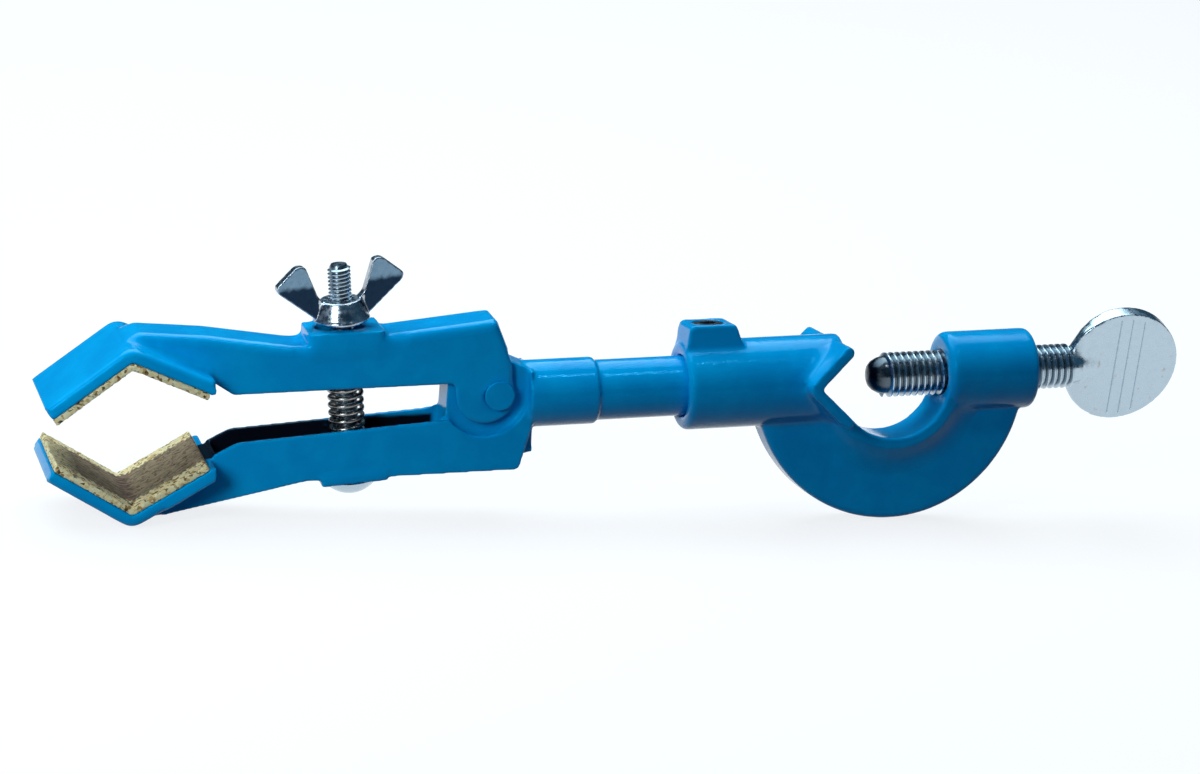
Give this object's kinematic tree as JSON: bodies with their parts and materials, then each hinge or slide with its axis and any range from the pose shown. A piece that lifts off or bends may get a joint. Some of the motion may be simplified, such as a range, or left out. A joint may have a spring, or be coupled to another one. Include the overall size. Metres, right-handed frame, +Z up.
{
  "type": "boss head clamp",
  "caption": "Laboratory clamp: a cast boss with a V notch and thumb screw grips a stand rod, and a cork-lined finger jaw closed by a wing nut grips glassware.",
  "frame": {"origin": "axis of a 12 mm stand rod held in the V notch, midway along the notch plate", "axes": "+X from the jaws towards the thumb screw, along the stem and level with the surface the clamp rests on; +Y across the clamp, along the stand rod; +Z up"},
  "size_m": [0.3064, 0.0372, 0.0679],
  "materials": {
    "enamel": "glossy cyan-blue enamel on a casting",
    "nickel": "satin nickel plate",
    "zinc_chrome": "bright plated",
    "dark_steel": "dark spring steel",
    "cork": "cut cork sheet, worn dark on the gripping face"
  },
  "bodies": {
    "boss": {"boss_head": "enamel"},
    "lower_jaw": {"lower_jaw": "enamel", "lower_cork": "cork", "pivot_pin": "enamel", "clamp_bolt": "nickel", "spring": "dark_steel"},
    "upper_jaw": {"upper_jaw": "enamel", "upper_cork": "cork"},
    "wing_nut": {"wing_nut": "zinc_chrome"},
    "thumb_screw": {"thumb_screw": "nickel"},
    "set_screw": {"set_screw": "nickel"}
  },
  "joints": [
    {"name": "stem_swivel", "type": "hinge", "parent": "boss", "child": "lower_jaw", "pos_m": [-0.02843, 0, -0.0018], "axis": [0.998, 0, 0.0632], "continuous": true},
    {"name": "jaw_hinge", "type": "hinge", "parent": "lower_jaw", "child": "upper_jaw", "pos_m": [-0.09242, 0, -0.00395], "axis": [0, 1, 0], "range_deg": [-5, 8], "deforming": ["spring"]},
    {"name": "wing_nut_travel", "type": "slide", "parent": "lower_jaw", "child": "wing_nut", "axis": [-0.1223, 0, 0.9925], "range_m": [-0.00396, 0.00622]},
    {"name": "thumb_screw_travel", "type": "slide", "parent": "boss", "child": "thumb_screw", "axis": [0.998, 0, 0.0632], "range_m": [-0.0112, 0.02]},
    {"name": "set_screw_travel", "type": "slide", "parent": "boss", "child": "set_screw", "axis": [-0.0628, 0.1132, 0.9916], "range_m": [0, 0.004]}
  ],
  "couplings": [
    {"joint": "wing_nut_travel", "follows": "jaw_hinge", "m_per_rad": 0.04308}
  ]
}
